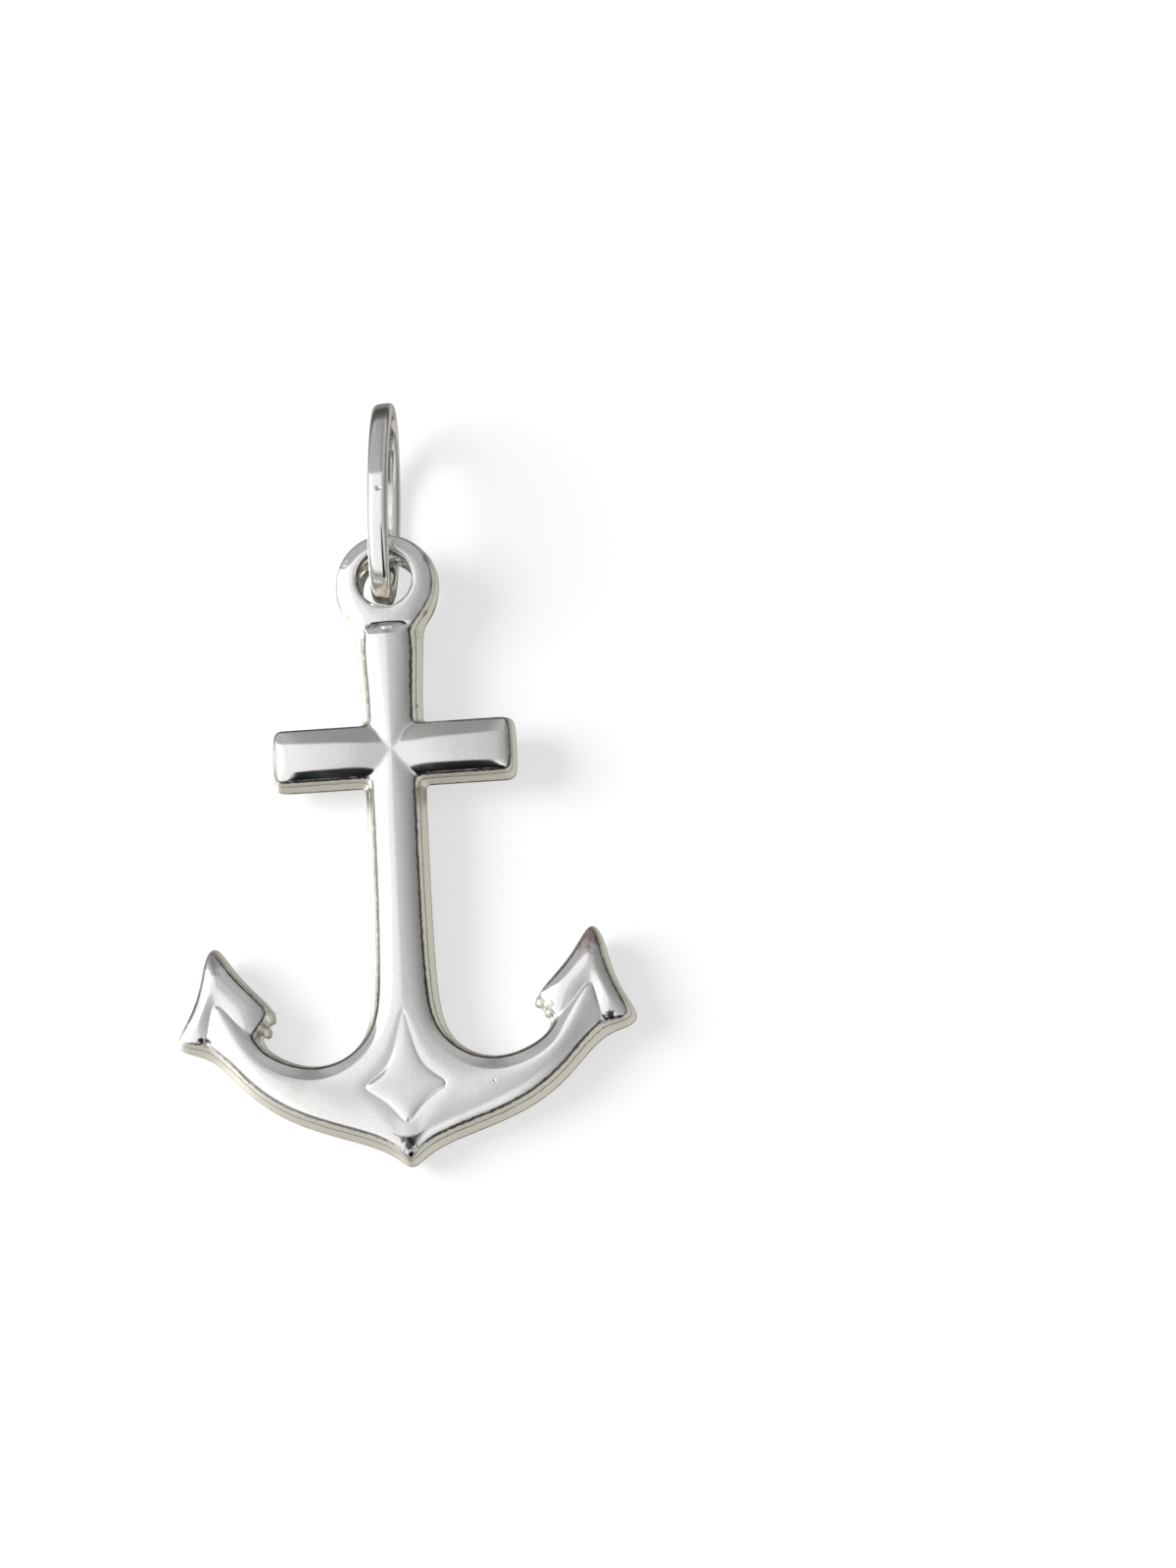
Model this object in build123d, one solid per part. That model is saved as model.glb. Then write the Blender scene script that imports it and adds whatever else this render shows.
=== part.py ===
from build123d import *
import math
import os

# Anchor charm of stamped silver lying on a table, with the oval ring it hangs by.
# X across the arms, Y from the crown (minus) to the eye and ring (plus), Z up from the table.

# Driving dimensions, mm
span = 20.0  # over the outer barbs of the two flukes
drop = 25.8  # from the middle of the eye to the tip of the crown
thickness = 3.1  # of the puffed body, both halves together
eye_diameter = 4.56
eye_hole = 2.3  # at the seam, its narrowest
hole_beyond = 0.12  # its middle sits this far beyond the middle of the eye
shank_width = 2.66  # at the seam, half way down the shank
stock_length = 10.6
stock_width = 2.8
wall_draft = 0.41  # how far each half narrows from the seam up to its shoulder
stock_draft = 0.25
eye_draft = 0.16
dome_inset = 0.38  # from the shoulder to where the dome has nearly reached its top
star_relief = 0.06
ring_length = 9.1
ring_height = 7.0
ring_band = 0.75  # radial thickness of the ring's wire
ring_width = 0.9
ring_beyond_eye = 3.54  # from the middle of the eye to the middle of the ring
ring_turn = 3.0  # degrees it is turned to the anchor's line, seen from above
ring_lean = 1.5  # degrees it leans to the right
rest_gap = 0.24  # between the eye's back and the ring's wire that carries it

# Sizes that follow
half_thick = thickness / 2
shoulder_high = half_thick * 0.81
eye_radius = eye_diameter / 2
hole_radius = eye_hole / 2
mouth_radius = hole_radius + 0.09
lip_radius = mouth_radius + 0.13
crest_radius = (eye_radius + lip_radius) / 2 - 0.03
eye_high = half_thick * 0.87
shank_half = shank_width / 2
stock_half = stock_width / 2
stock_end = stock_length / 2
stock_share = 0.2946  # of the drop, where the middle of the stock crosses it
stock_at = drop * stock_share
junction_at = eye_radius * 0.865
longest_mitre = 1.35
round_out = 1.05  # a smoothed ring of corners draws in by this
crisp = 2
sharp = 8

# Outline of the right half at the seam, from the eye's top round to the crown's tip.
# Columns: name, share of half the span across, share of the drop along.
# Rows whose place follows a named size carry a word instead, and are set in seam_outline.
outline_rows = [
    ("e0", "eye", 0),
    ("e1", "eye", 31),
    ("e2", "eye", 62),
    ("e3", "eye", 93),
    ("e4", "eye", 121),
    ("n", 0.158, 0.0719),
    ("a1", 0.151, 0.1031),
    ("a2", 0.139, 0.1656),
    ("a6", "shank", 0.2170),
    ("q1", "cross", -1),
    ("t0", "stock", -0.40),
    ("t1", "stock", -0.66),
    ("t2", "stock", -0.875),
    ("c1", "stock", -1),
    ("x1", "end", -0.5),
    ("x2", "end", 0),
    ("x3", "end", 0.5),
    ("c2", "stock", 1),
    ("t3", "stock", 0.875),
    ("t4", "stock", 0.66),
    ("t5", "stock", 0.40),
    ("q2", "cross", 1),
    ("a7", "shank", 0.3740),
    ("a3", "shank", 0.4400),
    ("a4", "shank", 0.5364),
    ("a5", 0.137, 0.6382),
    ("f1", 0.144, 0.7037),
    ("f2", 0.162, 0.7551),
    ("g1", 0.212, 0.7904),
    ("g2", 0.300, 0.8126),
    ("g3", 0.410, 0.8186),
    ("g4", 0.515, 0.8065),
    ("g5", 0.590, 0.7884),
    ("g6", 0.614, 0.7763),
    ("ki", 0.624, 0.7642),
    ("li", 0.596, 0.7481),
    ("pi", 0.556, 0.7269),
    ("bi", 0.608, 0.7007),
    ("ai", 0.703, 0.6644),
    ("si", 0.768, 0.6271),
    ("tt", 0.820, 0.5979),
    ("so", 0.872, 0.6251),
    ("ao", 0.893, 0.6775),
    ("bo", 0.946, 0.7259),
    ("po", 1.012, 0.7642),
    ("lo", 0.972, 0.7823),
    ("ko", 0.870, 0.7904),
    ("o5", 0.780, 0.8206),
    ("o4", 0.668, 0.871),
    ("o3", 0.510, 0.9113),
    ("o2", 0.335, 0.9365),
    ("o1", 0.195, 0.9536),
    ("o0", 0.088, 0.9718),
    ("tip", 0, 1),
]

# Points of the upper face that are not offsets of the outline.
# Columns: name, share of half the span across, share of the drop along, share of half the thickness up.
face_rows = [
    ("ra1", 0, 0.0950, 1.0),
    ("ra2", 0, 0.1656, 1.015),
    ("ra6", 0, 0.2690, 1.015),
    ("ra7", 0, 0.3200, 1.015),
    ("ra3", 0, 0.4400, 1.015),
    ("ra4", 0, 0.5364, 1.015),
    ("ra5", 0, 0.6382, 1.01),
    ("y_top", 0, 0.7080, 1.0),
    ("y_a", 0.064, 0.7840, 0.98),
    ("y_b", 0.102, 0.8320, 0.975),
    ("y_side", 0.236, 0.8642, 0.975),
    ("y_c", 0.099, 0.8980, 0.975),
    ("y_low", 0, 0.9462, 0.94),
    ("w_top", 0, 0.7259, 0.965),
    ("w_a", 0.036, 0.7884, 0.925),
    ("w_b", 0.074, 0.8367, 0.925),
    ("w_side", 0.198, 0.865, 0.935),
    ("w_c", 0.074, 0.8922, 0.925),
    ("w_low", 0, 0.9355, 0.93),
    ("r2", 0.355, 0.867, 0.99),
    ("r3", 0.525, 0.8519, 0.99),
    ("r4", 0.665, 0.8136, 0.99),
    ("r5", 0.748, 0.7632, 0.98),
    ("fork", 0.808, 0.7037, 0.92),
    ("fi", 0.725, 0.7501, 0.86),
    ("fo", 0.826, 0.736, 0.88),
    ("ro", 0.812, 0.6684, 1.0),
    ("rt", 0.819, 0.6420, 0.93),
    ("wi1", 0.74, 0.719, 0.975),
    ("wi2", 0.655, 0.739, 0.935),
    ("wo1", 0.862, 0.72, 0.965),
    ("wo2", 0.915, 0.757, 0.93),
]
star_rows = [
    ("v_top", 0, 0.752, 0.3),
    ("v_a", 0.021, 0.7985, 0.6),
    ("v_b", 0.055, 0.8442, 0.9),
    ("v_side", 0.156, 0.865, 0.7),
    ("v_c", 0.055, 0.8858, 0.9),
    ("v_low", 0, 0.9215, 0.6),
    ("v_mid", 0, 0.8589, 1.0),
]


def seam_outline():
    """Name, across, along for each corner of the outline at the seam."""
    corners = []
    for name, across, along in outline_rows:
        if across == "eye":
            turn = math.radians(along)
            reach = eye_radius * round_out
            corners.append((name, reach * math.sin(turn), -reach * math.cos(turn)))
        elif across == "cross":
            corners.append((name, shank_half * 1.015, stock_at + along * stock_half))
        elif across == "stock":
            side = math.copysign(stock_half, along)
            corners.append((name, stock_end * abs(along), stock_at + side))
        elif across == "end":
            corners.append((name, stock_end * 1.01, stock_at + along * stock_half))
        elif across == "shank":
            corners.append((name, shank_half, drop * along))
        else:
            corners.append((name, across * span / 2, along * drop))
    return corners


def inward(before, here, after):
    """Mitred direction into the outline, its length kept under longest_mitre."""
    normals = []
    for start, end in ((before, here), (here, after)):
        run = math.hypot(end[0] - start[0], end[1] - start[1])
        normals.append((-(end[1] - start[1]) / run, (end[0] - start[0]) / run))
    (ax, ay), (bx, by) = normals
    lean = 1 + ax * bx + ay * by
    mitre = ((ax + bx) / max(lean, 0.05), (ay + by) / max(lean, 0.05))
    length = math.hypot(*mitre)
    if length > longest_mitre:
        mitre = (mitre[0] * longest_mitre / length, mitre[1] * longest_mitre / length)
    return mitre


def half_points(relief):
    """Named corners of the cage of one half of the body, right side: across, along, height."""
    outline = seam_outline()
    places = [(across, along) for _, across, along in outline]
    ahead = [(-places[1][0], places[1][1])] + places + [(-places[-2][0], places[-2][1])]
    points = {}
    for number, (name, across, along) in enumerate(outline):
        lean = inward(ahead[number], ahead[number + 1], ahead[number + 2])
        low = eye_draft if name[0] == "e" else stock_draft if name[0] in "tcx" else wall_draft
        top = eye_high * 0.84 if name[0] == "e" else shoulder_high
        points["b_" + name] = (across, along, 0.0)
        points["s_" + name] = (across + lean[0] * low, along + lean[1] * low, top)
        deep = low + dome_inset
        points["m_" + name] = (across + lean[0] * deep, along + lean[1] * deep, half_thick * 0.96)
    # The end of the stock: its dome stops short of the end wall
    for name, share in (("x1", -0.45), ("x2", 0.0), ("x3", 0.45)):
        points["s_" + name] = (stock_end * 0.962, stock_at + share * stock_half, shoulder_high)
    for name, share in (("t2", -1), ("t3", 1)):
        rise = stock_half - stock_draft - dome_inset
        points["m_" + name] = (stock_end * 0.875, stock_at + share * rise, half_thick * 0.95)
    points["m_x2"] = (stock_end * 0.885, stock_at, half_thick * 0.99)
    points["m_in"] = (stock_end * 0.14, stock_at, half_thick * 1.015)
    points["m_t"] = (stock_end * 0.60, stock_at, half_thick * 1.015)
    # The mitres where the stock crosses the shank are valleys
    points["cross"] = (0.0, stock_at, half_thick * 0.95)
    for name, side in (("q1", -1), ("q2", 1)):
        beside = shank_half - wall_draft
        level = stock_half - stock_draft
        points["s_" + name] = (beside, stock_at + side * level, shoulder_high)
        valley = (beside - dome_inset, stock_at + side * (level - dome_inset))
        points["m_" + name] = (*valley, half_thick * 0.91)
    # The ring of the eye, its lip and its hole
    for name, turn in (("e0", 0), ("e1", 31), ("e2", 62), ("e3", 93), ("e4", 121), ("n", 143), ("u", 162), ("z", 180)):
        east = math.sin(math.radians(turn))
        south = -math.cos(math.radians(turn))
        for level, radius, beyond, high in (
            ("c_", crest_radius, hole_beyond / 2, eye_high),
            ("l_", lip_radius, hole_beyond, eye_high * 0.99),
            ("h_", mouth_radius, hole_beyond, eye_high * 0.88),
            ("i_", hole_radius, hole_beyond, 0.0),
        ):
            reach = radius * round_out
            points[level + name] = (reach * east, reach * south - beyond, high)
    # The crease between eye and shank
    points["s_n"] = (shank_half * 0.86, junction_at + 0.1, half_thick * 0.76)
    points["m_n"] = (shank_half * 0.45, junction_at + 0.03, half_thick * 0.79)
    points["j"] = (0.0, junction_at, half_thick * 0.79)
    for name, across, along, high in face_rows:
        points[name] = (across * span / 2, along * drop, high * half_thick)
    for name, across, along, high in star_rows:
        level = half_thick * 0.965 + relief * high
        points[name] = (across * span / 2, along * drop, level)
    # The shoulders run into the creases where the arm enters the fluke
    points["s_tip"] = (0.0, drop - 0.17, half_thick * 0.52)
    points["m_tip"] = (0.0, drop - 0.8, half_thick * 0.83)
    points["s_tt"] = (0.820 * span / 2, 0.6220 * drop, half_thick * 0.72)
    points["s_pi"] = ((0.578) * span / 2, 0.7249 * drop, shoulder_high * 0.9)
    points["s_li"] = (0.614 * span / 2, 0.7390 * drop, shoulder_high)
    points["s_ki"] = (0.655 * span / 2, 0.7642 * drop, shoulder_high)
    points["s_po"] = (0.976 * span / 2, 0.7612 * drop, shoulder_high * 0.9)
    points["s_lo"] = (0.945 * span / 2, 0.7722 * drop, shoulder_high)
    points["s_ko"] = (0.855 * span / 2, 0.7743 * drop, shoulder_high)
    return points


def strips(*rows):
    """Quads between neighbouring rows of names, all rows equally long."""
    quads = []
    for upper, lower in zip(rows, rows[1:]):
        for number in range(len(upper) - 1):
            quads.append((upper[number], upper[number + 1], lower[number + 1], lower[number]))
    return quads


def named(level, words):
    return [level + word for word in words.split()]


def half_quads():
    """Quads of one half of the body, right side, as names."""
    ring = "e0 e1 e2 e3 e4 n"
    full_ring = ring + " u z"
    quads = strips(named("b_", ring), named("s_", ring), named("c_", ring))
    quads += strips(named("c_", full_ring), named("l_", full_ring), named("h_", full_ring), named("i_", full_ring))
    quads += [("s_n", "m_n", "c_u", "c_n"), ("m_n", "j", "c_z", "c_u")]
    upper = "n a1 a2 a6 q1"
    quads += strips(named("b_", upper), named("s_", upper), named("m_", upper), ["j", "ra1", "ra2", "ra6", "cross"])
    top = "q1 t0 t1 t2"
    quads += strips(named("b_", top), named("s_", top), named("m_", top), ["cross", "m_in", "m_t", "m_x2"])
    low = "q2 t5 t4 t3"
    quads += strips(named("b_", low), named("s_", low), named("m_", low), ["cross", "m_in", "m_t", "m_x2"])
    for inner, corner, side in (("t2", "c1", "x1"), ("t3", "c2", "x3")):
        quads += [("s_" + inner, "b_" + inner, "b_" + corner, "s_" + corner)]
        quads += [("s_" + corner, "b_" + corner, "b_" + side, "s_" + side)]
        quads += [("s_" + side, "b_" + side, "b_x2", "s_x2")]
        quads += [("m_" + inner, "s_" + inner, "s_" + corner, "s_" + side)]
        quads += [("m_x2", "m_" + inner, "s_" + side, "s_x2")]
    shank = "q2 a7 a3 a4 a5 f1 f2 g1 g2 g3 g4 g5 g6"
    ridge = ["cross", "ra7", "ra3", "ra4", "ra5", "y_top", "y_a", "y_b", "y_side", "r2", "r3", "r4", "r5"]
    quads += strips(named("b_", shank), named("s_", shank), named("m_", shank), ridge)
    quads += [("b_g6", "b_ki", "s_ki", "s_g6"), ("s_g6", "s_ki", "fi", "m_g6"), ("m_g6", "fi", "fork", "r5")]
    outer = "ko o5 o4 o3 o2 o1 o0 tip"
    ridge = ["r5", "r4", "r3", "r2", "y_side", "y_c", "y_low"]
    run = "o5 o4 o3 o2 o1 o0 tip"
    quads += strips(named("b_", outer), named("s_", outer))
    quads += strips(named("s_", run), named("m_", run), ridge)
    quads += [("s_ko", "s_o5", "m_o5", "fo"), ("fo", "m_o5", "r5", "fork")]
    # The two wings of the fluke
    for turn, crease in (("i", "fi"), ("o", "fo")):
        s, b = "s_", "b_"
        quads += [("fork", "ro", "w" + turn + "1", crease), (crease, "w" + turn + "1", "w" + turn + "2", s + "k" + turn)]
        quads += [("ro", "rt", "m_a" + turn, "w" + turn + "1"), ("w" + turn + "1", "m_a" + turn, "m_b" + turn, "w" + turn + "2")]
        quads += [("rt", s + "s" + turn, s + "a" + turn, "m_a" + turn)]
        quads += [("m_a" + turn, s + "a" + turn, s + "b" + turn, "m_b" + turn)]
        quads += [("w" + turn + "2", "m_b" + turn, s + "b" + turn, s + "p" + turn)]
        quads += [(s + "k" + turn, "w" + turn + "2", s + "p" + turn, s + "l" + turn)]
        edge = ["tt", "s" + turn, "a" + turn, "b" + turn, "p" + turn, "l" + turn, "k" + turn]
        quads += strips([s + word for word in edge], [b + word for word in edge])
    quads += [("rt", "s_si", "s_tt", "s_so")]
    # The star
    around = ["y_top", "y_a", "y_b", "y_side", "y_c", "y_low"]
    foot = ["w_top", "w_a", "w_b", "w_side", "w_c", "w_low"]
    head = ["v_top", "v_a", "v_b", "v_side", "v_c", "v_low"]
    quads += strips(around, foot, head)
    quads += [("v_top", "v_a", "v_b", "v_mid"), ("v_mid", "v_b", "v_side", "v_c"), ("v_mid", "v_c", "v_low", "v_c*")]
    return quads


def half_creases():
    """Rows of names that stay folded, with how many levels they stay sharp."""
    outline = [name for name, _, _ in outline_rows]
    rows = [(["b_" + name for name in outline], sharp), (["s_" + name for name in outline], crisp)]
    rows += [(named("h_", "e0 e1 e2 e3 e4 n u z"), 1), (named("i_", "e0 e1 e2 e3 e4 n u z"), sharp)]
    rows += [(named("l_", "e0 e1 e2 e3 e4 n u z"), 1)]
    rows += [(["cross", "m_q1", "s_q1"], sharp), (["cross", "m_q2", "s_q2"], sharp)]
    rows += [(["s_n", "m_n", "j"], sharp), (["s_ki", "fi", "fork", "fo", "s_ko"], sharp)]
    rows += [(["b_q1", "s_q1"], 1), (["b_q2", "s_q2"], 1), (["b_ki", "s_ki"], 1)]
    rows += [(["b_tip", "s_tip"], 1)]
    return rows


def star_creases():
    return [(["w_top", "w_a", "w_b", "w_side", "w_c", "w_low"], crisp),
            (["v_top", "v_a", "v_b", "v_side", "v_c", "v_low"], 1),
            (["w_side", "v_side"], 1), (["w_low", "v_low"], 1), (["w_top", "v_top"], 1)]


def whole_cage():
    """Corners, quads and creases of the closed body, all four quarters merged."""
    corners = []
    index = {}
    quads = []
    creases = {}
    upper_quads = 0

    def corner(across, along, high):
        key = (round(across, 6), round(along, 6), round(high, 6))
        if key not in index:
            index[key] = len(corners)
            corners.append((across, -along, high))
        return index[key]

    for face in (1, -1):
        points = half_points(star_relief if face == 1 else 0.0)
        for side in (1, -1):

            def number(name):
                flip = -side if name.endswith("*") else side
                across, along, high = points[name.rstrip("*")]
                return corner(flip * across + 0.0, along, face * high + 0.0)

            for quad in half_quads():
                if side == -1 and quad[-1].endswith("*"):
                    continue
                quads.append([number(name) for name in quad])
            rows = half_creases() + (star_creases() if face == 1 else [])
            for names, level in rows:
                for start, end in zip(names, names[1:]):
                    creases[frozenset((number(start), number(end)))] = level
        if face == 1:
            upper_quads = len(quads)
    for position, ring in enumerate(quads):
        want = 1 if position < upper_quads else -1
        area = 0.0
        for start, end in zip(ring, ring[1:] + ring[:1]):
            area += corners[start][0] * corners[end][1] - corners[end][0] * corners[start][1]
        if area * want < 0:
            ring.reverse()
    return corners, quads, creases, upper_quads


def refine(corners, quads, creases):
    """One Catmull-Clark level: four quads for each, in the order of the parents."""
    centres = []
    for ring in quads:
        centres.append([sum(corners[one][axis] for one in ring) / 4 for axis in range(3)])
    edges = {}
    faces_at = {}
    for number, ring in enumerate(quads):
        for start, end in zip(ring, ring[1:] + ring[:1]):
            edges.setdefault(frozenset((start, end)), []).append(number)
            faces_at.setdefault(start, []).append(number)
    middle = {}
    points = [None] * len(corners)
    fresh = []
    folds = {}
    edges_at = {}
    for edge, faces in edges.items():
        one, two = tuple(edge)
        mid = [(corners[one][axis] + corners[two][axis]) / 2 for axis in range(3)]
        level = creases.get(edge, 0)
        soft = [(2 * mid[axis] + centres[faces[0]][axis] + centres[faces[-1]][axis]) / 4 for axis in range(3)]
        hard = min(level, 1)
        middle[edge] = len(corners) + len(fresh)
        fresh.append([soft[axis] * (1 - hard) + mid[axis] * hard for axis in range(3)])
        edges_at.setdefault(one, []).append((two, level, mid))
        edges_at.setdefault(two, []).append((one, level, mid))
        if level > 1:
            folds[frozenset((one, middle[edge]))] = level - 1
            folds[frozenset((two, middle[edge]))] = level - 1
    for number, place in enumerate(corners):
        around = edges_at[number]
        count = len(around)
        folded = [(other, level) for other, level, _ in around if level > 0]
        faces = faces_at[number]
        for_faces = [sum(centres[one][axis] for one in faces) / count for axis in range(3)]
        for_edges = [sum(mid[axis] for _, _, mid in around) / count for axis in range(3)]
        smooth = [(for_faces[axis] + 2 * for_edges[axis] + (count - 3) * place[axis]) / count for axis in range(3)]
        if len(folded) >= 3:
            points[number] = list(place)
        elif len(folded) == 2:
            ends = [corners[other] for other, _ in folded]
            hard = min(sum(level for _, level in folded) / 2, 1)
            along = [(6 * place[axis] + ends[0][axis] + ends[1][axis]) / 8 for axis in range(3)]
            points[number] = [smooth[axis] * (1 - hard) + along[axis] * hard for axis in range(3)]
        else:
            points[number] = smooth
    start_of_centres = len(corners) + len(fresh)
    children = []
    for number, ring in enumerate(quads):
        centre = start_of_centres + number
        for position, here in enumerate(ring):
            after = middle[frozenset((here, ring[(position + 1) % 4]))]
            before = middle[frozenset((ring[position - 1], here))]
            children.append([here, after, centre, before])
    return points + fresh + centres, children, folds, middle


def body_triangles():
    """Upper half at two levels; the plain back at one level, stitched to it along the seam."""
    corners, quads, creases, upper = whole_cage()
    first, first_quads, folds, _ = refine(corners, quads, creases)
    second, second_quads, _, middle = refine(first, first_quads, folds)
    triangles = []
    for ring in second_quads[: upper * 16]:
        triangles += [(ring[0], ring[1], ring[2]), (ring[0], ring[2], ring[3])]
    front = set()
    for ring in second_quads[: upper * 16]:
        for start, end in zip(ring, ring[1:] + ring[:1]):
            front.add(frozenset((start, end)))
    for ring in first_quads[upper * 4 :]:
        loop = []
        split = None
        for start, end in zip(ring, ring[1:] + ring[:1]):
            loop.append(start)
            between = middle[frozenset((start, end))]
            if frozenset((start, between)) in front:
                split = len(loop)
                loop.append(between)
        if split is None:
            triangles += [(loop[0], loop[1], loop[2]), (loop[0], loop[2], loop[3])]
        else:
            turned = loop[split:] + loop[:split]
            for step in range(1, len(turned) - 1):
                triangles.append((turned[0], turned[step], turned[step + 1]))
    return second, triangles


def solid_of(points, triangles):
    faces = []
    for ring in triangles:
        corners = [Vector(*points[one]) for one in ring]
        faces.append(Face(Wire.make_polygon(corners, close=True)))
    return Solid(Shell(faces))


def lowest(points):
    return min(point[2] for point in points)


def rest_tilt():
    """Angle at which the eye lies on the ring's lower wire while the crown lies on the table."""
    across = ring_beyond_eye - crest_radius - hole_beyond / 2
    inner_length = ring_length / 2 - ring_band
    inner_height = ring_height / 2 - ring_band
    wire_top = ring_height / 2 - inner_height * math.sqrt(1 - (across / inner_length) ** 2)
    rise = wire_top + rest_gap - (half_thick - eye_high)
    return math.degrees(math.asin(rise / (drop * 0.87 + crest_radius + hole_beyond / 2)))


def turned(points, angle):
    """Points turned about X by angle degrees, then set on the table."""
    sine = math.sin(math.radians(angle))
    cosine = math.cos(math.radians(angle))
    moved = [(x, y * cosine - z * sine, y * sine + z * cosine) for x, y, z in points]
    down = lowest(moved)
    return [(x, y, z - down) for x, y, z in moved]


def oval_ring():
    """Soldered oval ring of flat wire, standing on its long side across the eye."""
    wire = Ellipse(ring_length / 2, ring_height / 2) - Ellipse(ring_length / 2 - ring_band, ring_height / 2 - ring_band)
    band = extrude(wire, ring_width / 2, both=True)
    band = fillet(band.edges(), ring_width * 0.2)
    upright = Rot(0, 90, 0) * (Rot(0, 0, 90) * band)
    leaning = Rot(0, ring_lean, 0) * (Pos(0, 0, ring_height / 2) * upright)
    placed = Rot(0, 0, -ring_turn) * leaning
    return Pos(0, ring_beyond_eye, -placed.bounding_box().min.Z) * placed


points, triangles = body_triangles()
points = turned(points, rest_tilt())
anchor = solid_of(points, triangles)
jump_ring = oval_ring()

# Origin under the middle of the bounding box
both = Compound([anchor, jump_ring]).bounding_box()
shift = Pos(-both.center().X, -both.center().Y, -both.min.Z)

os.makedirs("parts", exist_ok=True)
export_step(shift * anchor, "parts/anchor.step", write_pcurves=False)
export_step(shift * jump_ring, "parts/jump_ring.step")
print("triangles", len(triangles), "tilt", round(rest_tilt(), 3))
print("box", both.size, "anchor", anchor.volume, anchor.is_valid, "ring", jump_ring.volume)
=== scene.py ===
import math

import bpy
from mathutils import Matrix, Vector


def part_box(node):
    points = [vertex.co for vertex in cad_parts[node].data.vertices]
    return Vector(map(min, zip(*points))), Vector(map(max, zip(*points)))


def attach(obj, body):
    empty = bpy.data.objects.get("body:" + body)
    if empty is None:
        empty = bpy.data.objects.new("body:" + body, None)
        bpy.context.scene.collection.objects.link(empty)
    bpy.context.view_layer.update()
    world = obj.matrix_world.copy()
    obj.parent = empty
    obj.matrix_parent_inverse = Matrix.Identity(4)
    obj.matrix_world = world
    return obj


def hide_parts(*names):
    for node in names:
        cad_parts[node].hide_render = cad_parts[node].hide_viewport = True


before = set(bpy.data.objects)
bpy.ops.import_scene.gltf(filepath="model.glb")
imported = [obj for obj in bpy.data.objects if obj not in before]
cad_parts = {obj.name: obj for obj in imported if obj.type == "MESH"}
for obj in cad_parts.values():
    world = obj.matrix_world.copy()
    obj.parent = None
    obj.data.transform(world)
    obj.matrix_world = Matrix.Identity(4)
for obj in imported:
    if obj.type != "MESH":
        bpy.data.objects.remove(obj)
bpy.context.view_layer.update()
mm = 0.001  # all tables below are in millimetres


def deselectAll():
    if bpy.context.object and bpy.context.object.mode != "OBJECT":
        bpy.ops.object.mode_set(mode="OBJECT")
    bpy.ops.object.select_all(action="DESELECT")


anchorValues = {
    "span": 20.0,
    "drop": 25.8,  # from the middle of the eye to the crown's tip
    "thickness": 3.1,
    "shoulder": 0.81,  # top of the walls, share of half the thickness
    "eyeDiameter": 4.56,
    "eyeHeight": 0.87,  # share of half the thickness
    "eyeHole": 2.3,  # at the seam, its narrowest
    "holeBeyond": 0.12,  # from the middle of the eye, away from the shank
    "mouth": 0.04,  # the hole opens by this much towards the face
    "lip": 0.07,  # rounding round the mouth
    "crestShift": 0.16,  # the eye's crest, inward from the middle of its face
    "fold": 0.865,  # between eye and shank, share of the eye's radius
    "shankWidth": 2.66,
    "stockLength": 10.6,
    "stockWidth": 2.8,
    "stockPlace": 0.2946,  # share of the drop
    "wallDraft": 0.41,
    "stockDraft": 0.25,
    "eyeDraft": 0.16,
    "armDraft": 0.26,  # along the top of the arms and round the flukes
    "domeInset": 0.38,
    "domeEdge": 0.96,  # share of half the thickness
    "roundOut": 1.05,  # a round cage is made larger, because smoothing draws it in
    "starRelief": 0.06,
    "starShift": 0.05,  # its left slopes are gentler than its right ones
    "eyeMiddle": (0.0, 8.797, 2.1),  # where the middle of the eye lies
    "tilt": 2.532,  # the eye rests on the ring's wire
    "levels": 3,
}

# name, share of half the span across, share of the drop along; a word when a size sets the place
outlineRows = [
    ("e0", "eye", 0), ("e1", "eye", 31), ("e2", "eye", 62), ("e3", "eye", 93), ("e4", "eye", 121),
    ("n", 0.158, 0.0719), ("a1", 0.151, 0.0930), ("a8", 0.147, 0.1130), ("a2", 0.139, 0.1656),
    ("a6", "shank", 0.2170), ("q1", "cross", -1),
    ("t0", "stock", -0.40), ("t1", "stock", -0.66), ("t2", "stock", -0.875), ("c1", "stock", -1),
    ("x1", "end", -0.5), ("x2", "end", 0), ("x3", "end", 0.5),
    ("c2", "stock", 1), ("t3", "stock", 0.875), ("t4", "stock", 0.66), ("t5", "stock", 0.40),
    ("q2", "cross", 1), ("a7", "shank", 0.3740), ("a3", "shank", 0.4400), ("a4", "shank", 0.5364),
    ("a5", 0.137, 0.6382),
    ("f1", 0.144, 0.7037), ("f2", 0.162, 0.7551), ("g1", 0.212, 0.7904), ("g2", 0.300, 0.8126),
    ("g3", 0.410, 0.8186), ("g4", 0.515, 0.8065), ("g5", 0.590, 0.7884), ("g6", 0.614, 0.7763),
    ("ki", 0.624, 0.7642), ("li", 0.596, 0.7481), ("pi", 0.556, 0.7269), ("bi", 0.608, 0.7007),
    ("ai", 0.703, 0.6644), ("si", 0.768, 0.6271), ("tt", 0.820, 0.5979), ("so", 0.872, 0.6251),
    ("ao", 0.893, 0.6775), ("bo", 0.946, 0.7259), ("po", 1.012, 0.7642), ("lo", 0.972, 0.7823),
    ("ko", 0.870, 0.7904), ("o5", 0.780, 0.8206), ("o4", 0.668, 0.871), ("o3", 0.510, 0.9113),
    ("o2", 0.335, 0.9365), ("o1", 0.195, 0.9536), ("o0", 0.088, 0.9718), ("tip", 0, 1),
]

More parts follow.
